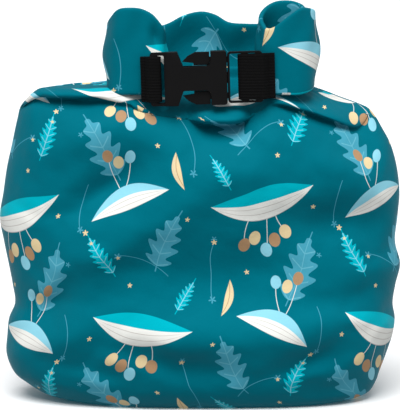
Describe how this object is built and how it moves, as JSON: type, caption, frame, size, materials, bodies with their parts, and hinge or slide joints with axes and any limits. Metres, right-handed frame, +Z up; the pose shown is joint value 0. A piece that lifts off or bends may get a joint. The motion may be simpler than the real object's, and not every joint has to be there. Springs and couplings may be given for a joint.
{
  "type": "cloth diaper wet bag",
  "caption": "Stuffed cloth wet bag, its flattened mouth rolled into a band and closed into a carrying loop by a black side release buckle on webbing.",
  "frame": {"origin": "middle of the flattened base, on the surface the bag stands on", "axes": "+Z up, -Y towards the front with the buckle, +X to the right as the front is seen"},
  "size_m": [0.2277, 0.1009, 0.2276],
  "materials": {
    "printed_cloth": "matt woven polyester, deep teal ground with a leaf print",
    "webbing": "matt black ribbed webbing",
    "buckle_plastic": "satin black moulded plastic"
  },
  "bodies": {
    "root": {"bag_body": "printed_cloth", "mouth_band": "printed_cloth", "webbing_left": "webbing", "webbing_right": "webbing", "buckle_socket": "buckle_plastic", "buckle_plug": "buckle_plastic"}
  },
  "joints": []
}
